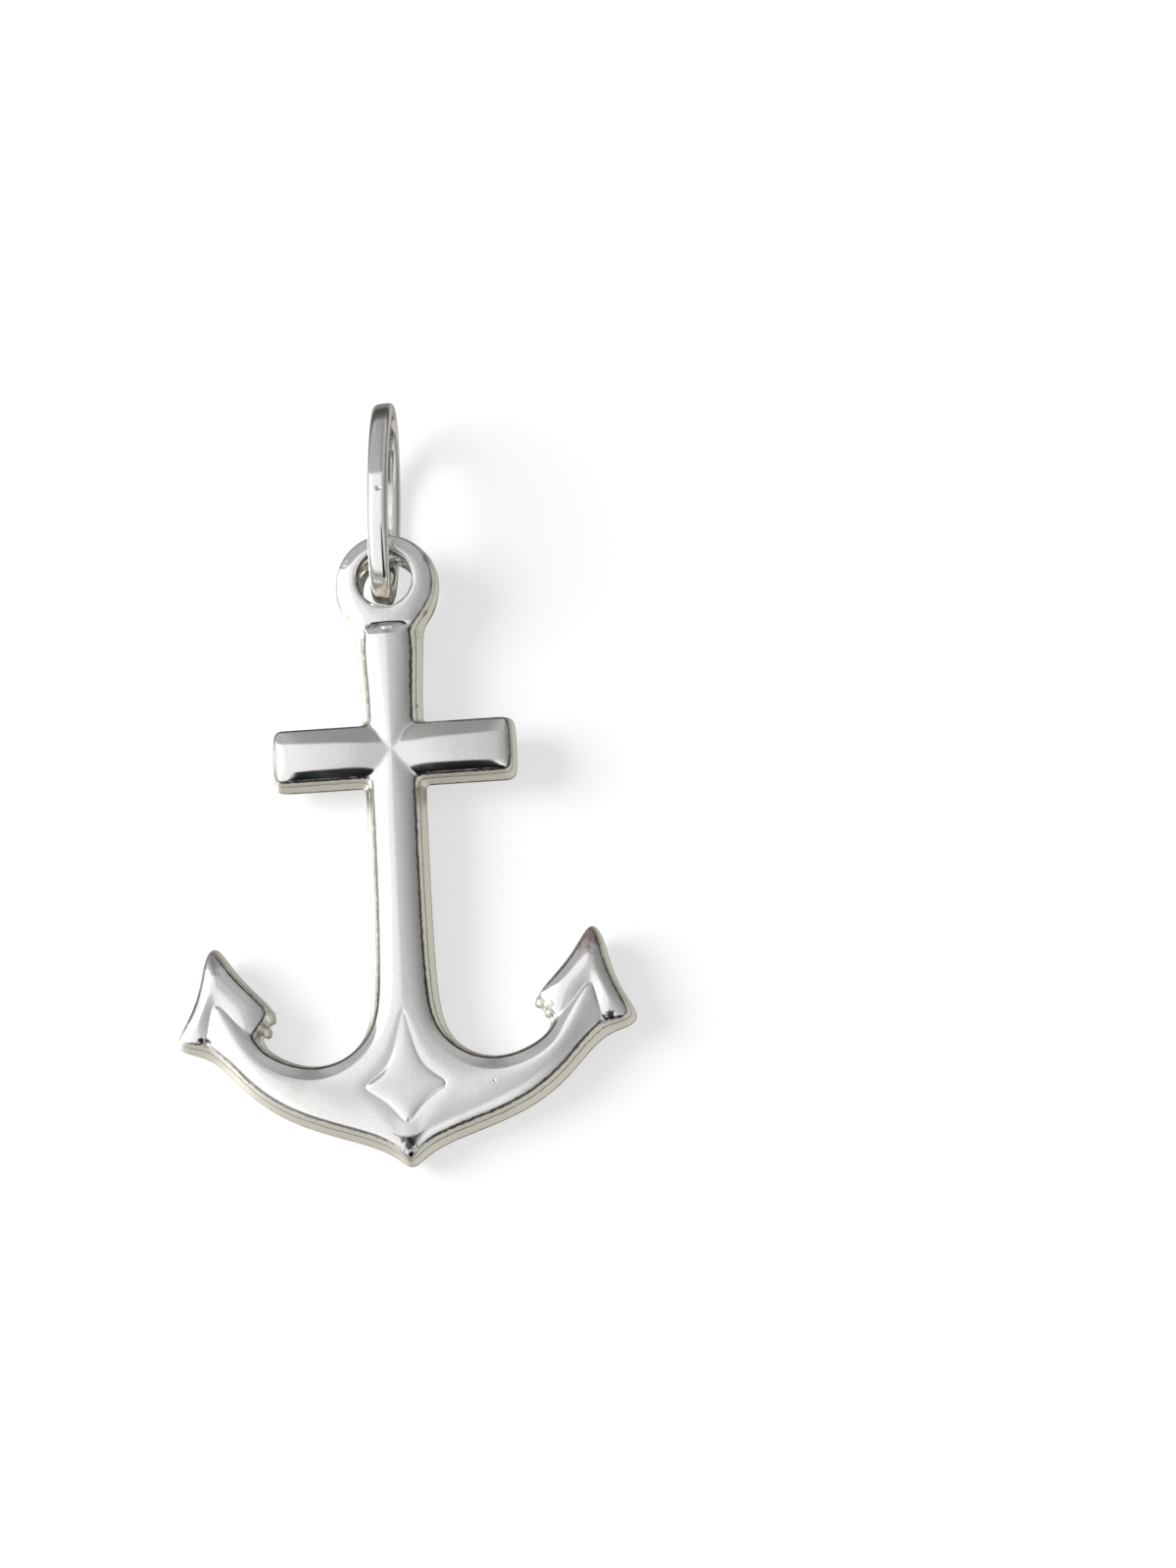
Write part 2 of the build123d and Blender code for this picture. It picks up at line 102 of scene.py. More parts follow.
# name, across, along, share of half the thickness up
faceRows = [
    ("ra1", 0, 0.0840, 0.985), ("ra8", 0, 0.0980, 1.015), ("ra2", 0, 0.1656, 1.015),
    ("ra6", 0, 0.2690, 1.015), ("ra7", 0, 0.3200, 1.015), ("ra3", 0, 0.4400, 1.015),
    ("ra4", 0, 0.5364, 1.015), ("ra5", 0, 0.6382, 1.01),
    ("y_top", 0, 0.7080, 1.0), ("y_a", 0.064, 0.7840, 0.98), ("y_b", 0.102, 0.8320, 0.975),
    ("y_side", 0.236, 0.8642, 0.975), ("y_c", 0.099, 0.8980, 0.975), ("y_low", 0, 0.9462, 0.94),
    ("w_top", 0, 0.7259, 0.985), ("w_a", 0.032, 0.7900, 0.969), ("w_b", 0.072, 0.8380, 0.948),
    ("w_side", 0.196, 0.865, 0.948), ("w_c", 0.072, 0.8915, 0.942), ("w_low", 0, 0.9345, 0.935),
    ("r2", 0.355, 0.867, 0.99), ("r3", 0.525, 0.8519, 0.99), ("r4", 0.665, 0.8136, 0.99),
    ("r5", 0.748, 0.7632, 0.98), ("fork", 0.810, 0.6990, 0.93), ("fi", 0.722, 0.7470, 0.87),
    ("fo", 0.832, 0.733, 0.87), ("ro", 0.812, 0.6684, 1.0), ("rt", 0.819, 0.6420, 0.93),
    ("wi1", 0.744, 0.722, 0.965), ("wi2", 0.660, 0.742, 0.93), ("wo1", 0.856, 0.722, 0.955),
    ("wo2", 0.898, 0.756, 0.925),
    ("ki2", 0.662, 0.7683, 0.81), ("fi2", 0.733, 0.7500, 0.95), ("fork2", 0.808, 0.7068, 0.965),
    ("fo2", 0.820, 0.7350, 0.95), ("ko2", 0.843, 0.7755, 0.81),
    ("s_tip", 0, 0.99341, 0.52), ("m_tip", 0, 0.96899, 0.83), ("s_tt", 0.820, 0.6140, 0.72),
    ("s_pi", 0.578, 0.7249, 0.729), ("s_li", 0.614, 0.7390, 0.81), ("s_ki", 0.655, 0.7642, 0.81),
    ("s_po", 0.976, 0.7612, 0.729), ("s_lo", 0.945, 0.7722, 0.81), ("s_ko", 0.855, 0.7743, 0.81),
]

# name, across, along, share of the star's relief over the crown's face
starRows = [
    ("v_top", 0, 0.736, 0.3), ("v_a", 0.022, 0.7960, 0.35), ("v_b", 0.058, 0.8430, 0.9),
    ("v_side", 0.166, 0.865, 0.7), ("v_c", 0.058, 0.8865, 0.9), ("v_low", 0, 0.9235, 0.6),
    ("v_mid", 0, 0.8589, 1.0),
]


def inward(before, here, after):  # the way that the wall leans at a corner, a mitre of limited length
    longest = 1.35
    normals = []
    for start, end in ((before, here), (here, after)):
        run = math.hypot(end[0] - start[0], end[1] - start[1])
        normals.append((-(end[1] - start[1]) / run, (end[0] - start[0]) / run))
    (ax, ay), (bx, by) = normals
    lean = max(1 + ax * bx + ay * by, 0.05)
    mitre = ((ax + bx) / lean, (ay + by) / lean)
    length = math.hypot(*mitre)
    if length > longest:
        mitre = (mitre[0] * longest / length, mitre[1] * longest / length)
    return mitre


def cagePoints(values, relief):
    halfSpan = values["span"] / 2
    drop = values["drop"]
    half = values["thickness"] / 2
    shoulder = half * values["shoulder"]
    eyeRadius = values["eyeDiameter"] / 2
    holeRadius = values["eyeHole"] / 2
    beyond = values["holeBeyond"]
    mouthRadius = holeRadius + values["mouth"]
    lipRadius = mouthRadius + values["lip"]
    crestRadius = (eyeRadius + lipRadius) / 2 - values["crestShift"]
    eyeHigh = half * values["eyeHeight"]
    shankHalf = values["shankWidth"] / 2
    stockHalf = values["stockWidth"] / 2
    stockEnd = values["stockLength"] / 2
    stockAt = drop * values["stockPlace"]
    draft = values["wallDraft"]
    inset = values["domeInset"]
    roundOut = values["roundOut"]

    outline = []
    for name, across, along in outlineRows:
        if across == "eye":
            turn = math.radians(along)
            outside = eyeRadius * roundOut
            outline.append((name, outside * math.sin(turn), -outside * math.cos(turn)))
        elif across == "cross":
            outline.append((name, shankHalf * 1.015, stockAt + along * stockHalf))
        elif across == "stock":
            outline.append((name, stockEnd * abs(along), stockAt + math.copysign(stockHalf, along)))
        elif across == "end":
            outline.append((name, stockEnd * 1.01, stockAt + along * stockHalf))
        elif across == "shank":
            outline.append((name, shankHalf, drop * along))
        else:
            outline.append((name, across * halfSpan, along * drop))
    places = [(across, along) for _, across, along in outline]
    ahead = [(-places[1][0], places[1][1])] + places + [(-places[-2][0], places[-2][1])]
    points = {}
    for number, (name, across, along) in enumerate(outline):
        lean = inward(*ahead[number:number + 3])
        low = values["eyeDraft"] if name[0] == "e" else values["stockDraft"] if name[0] in "tcx" else draft
        if name[0] == "g" or name in ("bi", "ai", "si", "so", "ao", "bo"):
            low = values["armDraft"]
        top = eyeHigh * 0.84 if name[0] == "e" else shoulder
        deep = low + inset
        points["b_" + name] = (across, along, 0.0)
        points["s_" + name] = (across + lean[0] * low, along + lean[1] * low, top)
        points["m_" + name] = (across + lean[0] * deep, along + lean[1] * deep, half * values["domeEdge"])
    rise = stockHalf - values["stockDraft"] - inset
    stockRows = [  # share of half the stock, place across it, share of half the thickness up
        ("s_x1", 0.970, -0.45 * stockHalf, values["shoulder"]), ("s_x2", 0.970, 0.0, values["shoulder"]),
        ("s_x3", 0.970, 0.45 * stockHalf, values["shoulder"]), ("m_x2", 0.938, 0.0, 0.985),
        ("m_t2", 0.925, -rise, 0.95), ("m_t3", 0.925, rise, 0.95),
        ("m_in", 0.14, 0.0, 1.015), ("m_t", 0.60, 0.0, 1.015),
        ("cross", 0.0, 0.0, 0.95),  # the mitres are valleys
    ]
    for name, along, across, high in stockRows:
        points[name] = (stockEnd * along, stockAt + across, half * high)
    for name, side in (("q1", -1), ("q2", 1)):
        beside = shankHalf - draft
        level = stockHalf - values["stockDraft"]
        points["s_" + name] = (beside, stockAt + side * level, shoulder)
        points["m_" + name] = (beside - inset, stockAt + side * (level - inset), half * 0.91)
    turns = {"e0": 0, "e1": 31, "e2": 62, "e3": 93, "e4": 121, "n": 143, "u": 162, "z": 180}
    for name, turn in turns.items():
        east = math.sin(math.radians(turn)) * roundOut
        south = -math.cos(math.radians(turn)) * roundOut
        for level, radius, shift, high in (
            ("c_", crestRadius, beyond / 2, eyeHigh), ("l_", lipRadius, beyond, eyeHigh * 0.99),
            ("h_", mouthRadius, beyond, eyeHigh * 0.88), ("i_", holeRadius, beyond, 0.0),
        ):
            points[level + name] = (radius * east, radius * south - shift, high)
    junction = eyeRadius * values["fold"]
    foldRows = [  # share of half the shank, distance from the fold, share of half the thickness up
        ("s_n", 0.86, 0.06, 0.76), ("m_n", 0.45, 0.03, 0.79), ("j", 0.0, 0.0, 0.79),
        ("s_k", 0.85, -0.04, 0.83), ("m_k", 0.45, -0.07, 0.86), ("k", 0.0, -0.08, 0.86),  # the eye's edge
    ]
    for name, across, along, high in foldRows:
        points[name] = (shankHalf * across, junction + along, half * high)
    points["s_a1"] = (shankHalf - draft, junction + 0.28, shoulder)
    points["m_a1"] = (shankHalf - draft - 0.28, junction + 0.22, half * 0.95)
    for name, across, along, high in faceRows:
        points[name] = (across * halfSpan, along * drop, high * half)
    for name, across, along, high in starRows:
        points[name] = (across * halfSpan, along * drop, half * 0.965 + relief * high)
    return points


def strips(*rows):
    quads = []
    for upper, lower in zip(rows, rows[1:]):
        for number in range(len(upper) - 1):
            quads.append((upper[number], upper[number + 1], lower[number + 1], lower[number]))
    return quads


def named(level, words):
    return [level + word for word in words.split()]


def cageQuads():
    ring = "e0 e1 e2 e3 e4 n"
    wholeRing = ring + " u z"
    quads = strips(named("b_", ring), named("s_", ring))
    quads += strips(named("s_", ring)[:-1], named("c_", ring)[:-1])
    quads += [("s_e4", "s_n", "s_k", "c_n", "c_e4")]
    quads += strips(*[named(level, wholeRing) for level in ("c_", "l_", "h_", "i_")])
    quads += strips(["s_n", "m_n", "j"], ["s_k", "m_k", "k"], ["c_n", "c_u", "c_z"])
    for words, ridge in (
        ("n a1 a8 a2 a6 q1", "j ra1 ra8 ra2 ra6 cross"),
        ("q1 t0 t1 t2", "cross m_in m_t m_x2"),
        ("q2 t5 t4 t3", "cross m_in m_t m_x2"),
        ("q2 a7 a3 a4 a5 f1 f2 g1 g2 g3 g4 g5 g6", "cross ra7 ra3 ra4 ra5 y_top y_a y_b y_side r2 r3 r4 r5"),
    ):
        quads += strips(named("b_", words), named("s_", words), named("m_", words), ridge.split())
    for inner, corner, side in (("t2", "c1", "x1"), ("t3", "c2", "x3")):  # rounded ends of the stock
        quads += [("s_" + inner, "b_" + inner, "b_" + corner, "s_" + corner)]
        quads += [("s_" + corner, "b_" + corner, "b_" + side, "s_" + side)]
        quads += [("s_" + side, "b_" + side, "b_x2", "s_x2")]
        quads += [("m_" + inner, "s_" + inner, "s_" + corner, "s_" + side)]
        quads += [("m_x2", "m_" + inner, "s_" + side, "s_x2")]
    quads += [("b_g6", "b_ki", "s_ki", "ki2", "s_g6")]
    quads += [("s_g6", "ki2", "fi2", "m_g6"), ("m_g6", "fi2", "fork2", "r5")]
    quads += strips(["s_ki", "fi", "fork", "fo", "s_ko"], ["ki2", "fi2", "fork2", "fo2", "ko2"])
    quads += [("b_ko", "b_o5", "s_o5", "ko2", "s_ko")]
    run = "o5 o4 o3 o2 o1 o0 tip"
    quads += strips(named("b_", run), named("s_", run))
    quads += strips(named("s_", run), named("m_", run), ["r5", "r4", "r3", "r2", "y_side", "y_c", "y_low"])
    quads += [("ko2", "s_o5", "m_o5", "fo2"), ("fo2", "m_o5", "r5", "fork2")]
    for wing, crease in (("i", "fi"), ("o", "fo")):  # the inner and the outer half of the fluke
        near, far = "w" + wing + "1", "w" + wing + "2"
        edge = ["tt"] + [letter + wing for letter in "sabplk"]
        _, side, above, below, point, low, corner = named("s_", " ".join(edge))
        upper, lower = "m_a" + wing, "m_b" + wing
        quads += [("fork", "ro", near, crease), (crease, near, far, corner), ("ro", "rt", upper, near)]
        quads += [(near, upper, lower, far), ("rt", side, above, upper), (upper, above, below, lower)]
        quads += [(far, lower, below, point), (corner, far, point, low)]
        quads += strips(["s_" + word for word in edge], ["b_" + word for word in edge])
    quads += [("rt", "s_si", "s_tt", "s_so")]
    around = "y_top y_a y_b y_side y_c y_low".split()
    foot = "w_top w_a w_b w_side w_c w_low".split()
    head = "v_top v_a v_b v_side v_c v_low".split()
    quads += strips(around, foot, head)
    quads += [("v_top", "v_a", "v_b", "v_mid"), ("v_mid", "v_b", "v_side", "v_c")]
    quads += [("v_mid", "v_c", "v_low", "v_c*")]
    return quads


def cageCreases(withStar):
    outline = [row[0] for row in outlineRows]
    ring = "e0 e1 e2 e3 e4 n u z"
    rows = [(named("b_", " ".join(outline)), 0.9), (named("s_", " ".join(outline)), 0.36)]
    rows += [(named("h_", ring), 0.6), (named("i_", ring), 0.9), (named("l_", ring), 0.32)]
    rows += [(["cross", "m_q1", "s_q1"], 0.6), (["cross", "m_q2", "s_q2"], 0.6), (["s_n", "m_n", "j"], 0.6)]
    rows += [(["s_ki", "fi", "fork", "fo", "s_ko"], 0.8), (["b_tip", "s_tip"], 0.32)]
    rows += [(["s_g6", "ki2", "s_ki"], 0.36), (["s_ko", "ko2", "s_o5"], 0.36)]
    rows += [(["b_q1", "s_q1"], 0.32), (["b_q2", "s_q2"], 0.32), (["b_ki", "s_ki"], 0.32)]
    if withStar:
        rows += [(["w_top", "w_a", "w_b", "w_side", "w_c", "w_low"], 0.45)]
        rows += [(["v_b", "v_side", "v_c", "v_low"], 0.32)]
        rows += [(["w_side", "v_side"], 0.32), (["w_low", "v_low"], 0.32), (["w_top", "v_top"], 0.32)]
    return rows


def makeAnchor(values):
    corners, index, quads, creases = [], {}, [], {}
    for face in (1, -1):
        points = cagePoints(values, values["starRelief"] if face == 1 else 0.0)
        for side in (1, -1):

            def corner(name):
                flip = -side if name.endswith("*") else side
                across, along, high = points[name.rstrip("*")]
                shift = values["starShift"] if name.startswith("v_") and face == 1 else 0.0
                place = (flip * across + shift, -along, face * high + 0.0)
                key = tuple(round(number, 6) + 0.0 for number in place)
                if key not in index:
                    index[key] = len(corners)
                    corners.append(place)
                return index[key]

            for quad in cageQuads():
                if side == -1 and quad[-1].endswith("*"):
                    continue
                ring = [corner(name) for name in quad]
                area = 0.0
                for start, end in zip(ring, ring[1:] + ring[:1]):
                    area += corners[start][0] * corners[end][1] - corners[end][0] * corners[start][1]
                if area * face < 0:
                    ring.reverse()
                quads.append(ring)
            for names, strength in cageCreases(face == 1):
                for start, end in zip(names, names[1:]):
                    creases[frozenset((corner(start), corner(end)))] = strength

    tilt = Matrix.Rotation(math.radians(values["tilt"]), 4, "X")
    lay = Matrix.Translation(Vector(values["eyeMiddle"])) @ tilt
    mesh = bpy.data.meshes.new("anchorSilver")
    mesh.from_pydata([(lay @ Vector(place)) * mm for place in corners], [], quads)
    piece = bpy.data.objects.new("anchorSilver", mesh)
    bpy.context.collection.objects.link(piece)
    strengths = mesh.attributes.new("crease_edge", "FLOAT", "EDGE")
    for edge in mesh.edges:
        strengths.data[edge.index].value = creases.get(frozenset(edge.vertices), 0.0)

    deselectAll()
    piece.select_set(True)
    bpy.context.view_layer.objects.active = piece
    smooth = piece.modifiers.new("smooth", "SUBSURF")
    smooth.levels = values["levels"]
    smooth.render_levels = values["levels"]
    bpy.ops.object.modifier_apply(modifier="smooth")
    bpy.ops.object.shade_smooth_by_angle(angle=math.radians(40))
    return piece


anchor = makeAnchor(anchorValues)
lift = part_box("anchor")[0].z - min(vertex.co.z for vertex in anchor.data.vertices)
anchor.data.transform(Matrix.Translation((0, 0, lift)))  # the crown's back lies on the table
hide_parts("anchor")
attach(anchor, "root")
print("anchor:", len(anchor.data.polygons), "faces")


ringValues = {
    "length": 9.1,
    "height": 7.0,
    "band": 0.75,
    "width": 0.9,
    "edge": 0.34,  # the wire is well rounded, its outer face a little crowned
    "roundness": 0.62,
    "slant": 0.10,  # one edge of the outer face is worn lower
    "lean": 1.5,
    "turn": 3.0,
    "steps": 160,
}


def makeRing(values):
    deselectAll()
    bpy.ops.mesh.primitive_circle_add(vertices=values["steps"], radius=1.0, location=(0, 0, 0))
    ring = bpy.context.object
    ring.name = "ringSilver"
    half = Vector((values["length"] / 2, values["height"] / 2, 0)) * mm
    band = values["band"] * mm
    slant = values["slant"] * mm

    def drawIn(depth):
        shrunk = ((half.x - depth) / half.x, (half.y - depth) / half.y, 1)
        bpy.ops.transform.resize(value=shrunk, center_override=(0, 0, 0))

    bpy.ops.object.mode_set(mode="EDIT")
    bpy.ops.mesh.select_all(action="SELECT")
    bpy.ops.transform.resize(value=(half.x, half.y, 1))
    bpy.ops.mesh.extrude_region_move()
    drawIn(band)
    bpy.ops.mesh.select_all(action="SELECT")
    bpy.ops.mesh.extrude_region_move(TRANSFORM_OT_translate={"value": (0, 0, values["width"] * mm)})
    bpy.ops.mesh.select_all(action="SELECT")
    bpy.ops.transform.translate(value=(0, 0, -values["width"] * mm / 2))
    bpy.ops.mesh.normals_make_consistent(inside=False)
    bpy.ops.mesh.select_all(action="DESELECT")
    bpy.ops.object.mode_set(mode="OBJECT")
    for vertex in ring.data.vertices:
        outside = math.hypot(vertex.co.x / half.x, vertex.co.y / half.y) > 0.98
        vertex.select = outside and vertex.co.z < 0
    bpy.ops.object.mode_set(mode="EDIT")
    drawIn(slant)
    bpy.ops.mesh.select_all(action="DESELECT")
    bpy.ops.mesh.select_mode(type="EDGE")
    bpy.ops.mesh.edges_select_sharp(sharpness=math.radians(50))
    bpy.ops.mesh.bevel(offset=values["edge"] * mm, segments=8, profile=values["roundness"], affect="EDGES")
    bpy.ops.object.mode_set(mode="OBJECT")
    stand = Matrix.Rotation(math.radians(90), 4, "Y") @ Matrix.Rotation(math.radians(90), 4, "Z")
    lean = Matrix.Rotation(math.radians(values["lean"]), 4, "Y")
    turn = Matrix.Rotation(math.radians(-values["turn"]), 4, "Z")
    ring.data.transform(turn @ lean @ stand)
    low, high = (Vector(corner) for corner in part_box("jump_ring"))
    columns = list(zip(*(vertex.co for vertex in ring.data.vertices)))
    middle = Vector([(max(column) + min(column)) / 2 for column in columns])
    ring.data.transform(Matrix.Translation((low + high) / 2 - middle))
    deselectAll()
    ring.select_set(True)
    bpy.context.view_layer.objects.active = ring
    bpy.ops.object.shade_smooth_by_angle(angle=math.radians(30))
    return ring


ring = makeRing(ringValues)
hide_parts("jump_ring")
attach(ring, "root")
print("ring:", len(ring.data.polygons), "faces")


def feed(tree, value, socket):  # a socket is linked, a value is set
    if isinstance(value, bpy.types.NodeSocket):
        tree.links.new(value, socket)
    else:
        socket.default_value = value


def combine(tree, operation, *values):
    step = tree.nodes.new("ShaderNodeMath")
    step.operation = operation
    for value, socket in zip(values, step.inputs):
        feed(tree, value, socket)
    return step.outputs["Value"]


def ramp(tree, socket, fromTo, below=0.0, above=1.0, smooth=False):
    spread = tree.nodes.new("ShaderNodeMapRange")
    if smooth:
        spread.interpolation_type = "SMOOTHSTEP"
    for value, name in zip((*fromTo, below, above), ("From Min", "From Max", "To Min", "To Max")):
        feed(tree, value, spread.inputs[name])
    tree.links.new(socket, spread.inputs["Value"])
    return spread.outputs["Result"]


def blend(tree, share, first, second, kind="FLOAT"):
    mix = tree.nodes.new("ShaderNodeMix")
    mix.data_type = kind
    for value, name in ((share, "Factor"), (first, "A"), (second, "B")):
        feed(tree, value, mix.inputs[name])
    return mix.outputs["Result"]


def curveOver(tree, socket, stops, straight=False):  # stops are pairs of a place and its level
    start, end = stops[0][0], stops[-1][0]
    top = max(level for _, level in stops)
    spots = [((place - start) / (end - start), level / top) for place, level in stops]
    curve = tree.nodes.new("ShaderNodeFloatCurve")
    line = curve.mapping.curves[0]
    line.points[0].location = spots[0]
    line.points[-1].location = spots[-1]
    for spot in spots[1:-1]:
        line.points.new(*spot)
    if straight:
        for point in line.points:
            point.handle_type = "VECTOR"
    curve.mapping.update()
    share = ramp(tree, socket, (start, end))
    share.node.clamp = not straight  # straight lines also go on past the ends
    tree.links.new(share, curve.inputs["Value"])
    return combine(tree, "MULTIPLY", curve.outputs["Value"], top)


def noise(tree, place, width, detail, length=None, offset=0.0):  # width and length in millimetres
    spread = tree.nodes.new("ShaderNodeMapping")
    spread.inputs["Location"].default_value = (offset, offset * 0.7, 0)
    spread.inputs["Scale"].default_value = (1 / (width * mm), 1 / ((length or width) * mm), 1 / (width * mm))
    texture = tree.nodes.new("ShaderNodeTexNoise")
    texture.inputs["Scale"].default_value = 1.0
    texture.inputs["Detail"].default_value = detail
    tree.links.new(place, spread.inputs["Vector"])
    tree.links.new(spread.outputs["Vector"], texture.inputs["Vector"])
    return texture.outputs["Fac"]


def mottled(tree, share, first, second, fromTo=(0.0, 1.0)):
    tone = tree.nodes.new("ShaderNodeValToRGB")
    for stop, colour, at in zip(tone.color_ramp.elements, (first, second), fromTo):
        stop.position = at
        stop.color = (*colour, 1)
    tree.links.new(share, tone.inputs["Fac"])
    return tone.outputs["Color"]


surfaceSockets = (("Color", "Color"), ("Roughness", "Float"), ("Height", "Float"))


def newGroup(name, inputs, outputs):
    group = bpy.data.node_groups.new(name, "ShaderNodeTree")
    for way, sockets in (("INPUT", inputs), ("OUTPUT", outputs)):
        for socket, kind in sockets:
            group.interface.new_socket(name=socket, in_out=way, socket_type="NodeSocket" + kind)
    return group


silverValues = {
    "colour": (0.93, 0.92, 0.905),
    "dulled": 0.95,
    "roughness": 0.10,
    "roughnessSpread": 0.05,
    "grain": (0.14, 0.0009),  # size and depth, mm
    "wave": (2.4, 0.010),
    "streak": (0.10, 2.2, 0.0007),  # width, length and depth, mm
    "passedOn": 0.6,  # of the studio's light, as the paper beside it receives it
}


def makeSilverFinish(values):
    group = newGroup("polishedSilver", (), surfaceSockets)
    out = group.nodes.new("NodeGroupOutput").inputs
    place = group.nodes.new("ShaderNodeTexCoord").outputs["Object"]
    grainSize, grainDepth = values["grain"]
    waveSize, waveDepth = values["wave"]
    streakWidth, streakLength, streakDepth = values["streak"]
    grain = noise(group, place, grainSize, 3, offset=1.3)
    wave = noise(group, place, waveSize, 2, offset=3.1)
    streak = noise(group, place, streakWidth, 2, streakLength, 7.7)
    smoothest = values["roughness"] - values["roughnessSpread"] / 2
    roughest = values["roughness"] + values["roughnessSpread"]
    group.links.new(ramp(group, wave, (0.35, 0.70), smoothest, roughest), out["Roughness"])
    dull = [part * values["dulled"] for part in values["colour"]]
    group.links.new(mottled(group, grain, dull, values["colour"], (0.3, 0.6)), out["Color"])
    fine = combine(group, "MULTIPLY", grain, grainDepth)
    fine = combine(group, "MULTIPLY_ADD", streak, streakDepth, fine)
    group.links.new(combine(group, "MULTIPLY_ADD", wave, waveDepth, fine), out["Height"])
    return group


stainAndShadeValues = {
    "ragged": 0.25,  # size of the unevenness of their edges, mm
    "wobble": 1.6,  # its share of the radius
    "core": 0.35,  # full strength within this share of the radius
    "dulling": 0.25,
    # place and radius in mm, how dark, colour, how deep
    "anchor": [
        ((8.10, -7.45, 3.05), 0.90, 0.85, (0.34, 0.25, 0.23), 0),
        ((-8.10, -7.55, 3.05), 0.75, 0.60, (0.30, 0.30, 0.29), 0),
        ((8.92, -11.12, 2.9), 0.26, 0.92, (0.02, 0.02, 0.02), 0.05),
        ((9.25, -11.10, 2.8), 0.16, 0.90, (0.02, 0.02, 0.02), 0.04),
        ((-8.50, -11.12, 2.9), 0.20, 0.92, (0.04, 0.03, 0.03), 0.04),
        ((1.92, -11.72, 2.6), 0.30, 0.75, (0.09, 0.09, 0.09), 0.04),
        ((-4.68, -13.45, 3.05), 0.40, 0.35, (0.74, 0.72, 0.60), 0),
        ((3.80, -13.61, 3.06), 0.09, 0.55, (0.35, 0.35, 0.35), 0.02),
        # darker patches near the eye's edge
        ((1.85, 9.62, 3.55), 0.32, 0.65, (0.25, 0.25, 0.26), 0.02),
        ((1.95, 8.15, 3.50), 0.15, 0.60, (0.20, 0.20, 0.20), 0.02),
        ((1.62, 7.30, 3.20), 0.28, 0.60, (0.22, 0.22, 0.22), 0.02),
        ((-1.72, 7.30, 3.05), 0.30, 0.60, (0.28, 0.28, 0.28), 0.02),
        # painted shade: these two grey spots stand for the shade just below the step from the eye to the
        # shank
        ((-0.50, 6.66, 3.68), 0.22, 0.60, (0.36, 0.36, 0.36), 0),
        ((-0.80, 6.68, 3.66), 0.22, 0.60, (0.36, 0.36, 0.36), 0),
        ((1.18, 6.25, 3.0), 0.10, 0.85, (0.06, 0.05, 0.05), 0.03),
        ((1.14, 3.20, 2.9), 0.10, 0.85, (0.06, 0.05, 0.05), 0.03),
        ((-0.20, -15.86, 2.79), 0.20, 0.75, (0.05, 0.05, 0.05), 0),
        ((0.00, -16.12, 2.65), 0.22, 0.80, (0.04, 0.04, 0.04), 0),
    ],
    "ring": [
        ((0.20, 11.95, 6.97), 0.14, 0.55, (0.22, 0.22, 0.24), 0.05),
        # painted reflection: beige on the ring's end that passes through the eye
        ((0.02, 8.0, 4.6), 0.60, 0.75, (0.66, 0.56, 0.40), 0),
    ],
}


def makeStainAndShade(values):  # one spot, which is a stain, a small dent, a patch of painted shade or a patch of painted reflection
    spotSockets = (
        ("At", "Vector"), ("Radius", "Float"), ("Strength", "Float"), ("MarkAndShade", "Color"), ("Depth", "Float"),
    )
    group = newGroup("stainAndShadeSpot", surfaceSockets + spotSockets, surfaceSockets)
    before = group.nodes.new("NodeGroupInput").outputs
    out = group.nodes.new("NodeGroupOutput").inputs
    place = group.nodes.new("ShaderNodeTexCoord").outputs["Object"]
    away = group.nodes.new("ShaderNodeVectorMath")
    away.operation = "DISTANCE"
    group.links.new(place, away.inputs[0])
    group.links.new(before["At"], away.inputs[1])
    uneven = combine(group, "SUBTRACT", noise(group, place, values["ragged"], 3), 0.5)
    wobble = combine(group, "MULTIPLY", before["Radius"], values["wobble"])
    distance = combine(group, "MULTIPLY_ADD", uneven, wobble, away.outputs["Value"])
    core = combine(group, "MULTIPLY", before["Radius"], values["core"])
    spot = ramp(group, distance, (before["Radius"], core), 0.0, before["Strength"], smooth=True)
    group.links.new(blend(group, spot, before["Color"], before["MarkAndShade"], "RGBA"), out["Color"])
    dulled = combine(group, "MULTIPLY_ADD", spot, values["dulling"], before["Roughness"])
    group.links.new(dulled, out["Roughness"])
    dent = combine(group, "MULTIPLY", spot, before["Depth"])
    group.links.new(combine(group, "SUBTRACT", before["Height"], dent), out["Height"])
    return group


# along the walls, by height over the seam as a share of half the thickness: grooves in relief, and dark
# lines, which are a dark joint at the seam and painted shade in the grooves halfway up the wall and just
# under the shoulder
seamAndShadeValues = {
    "relief": (
        (0.0, 0.0), (0.05, 0.035), (0.44, 0.035), (0.50, 0.012), (0.70, 0.052), (0.75, 0.015),
        (0.80, 0.0), (1.2, 0.0),
    ),
    "jointAndShade": (
        (0.0, 0.45), (0.05, 0.0), (0.44, 0.0), (0.485, 0.35), (0.53, 0.0), (0.70, 0.1), (0.745, 0.95),
        (0.79, 0.95), (0.84, 0.0), (1.2, 0.0),
    ),
    "markAndShadeTone": (0.10, 0.085, 0.075),
    "wobble": 0.10,
    "steepness": (0.86, 0.62),  # none of it where the silver faces up more than the first of these
    "towardsLight": (-0.6, -0.1),  # painted light: walls that face left, towards the key light, past these keep less of it
    "towardsLightKeeps": 0.3,
}


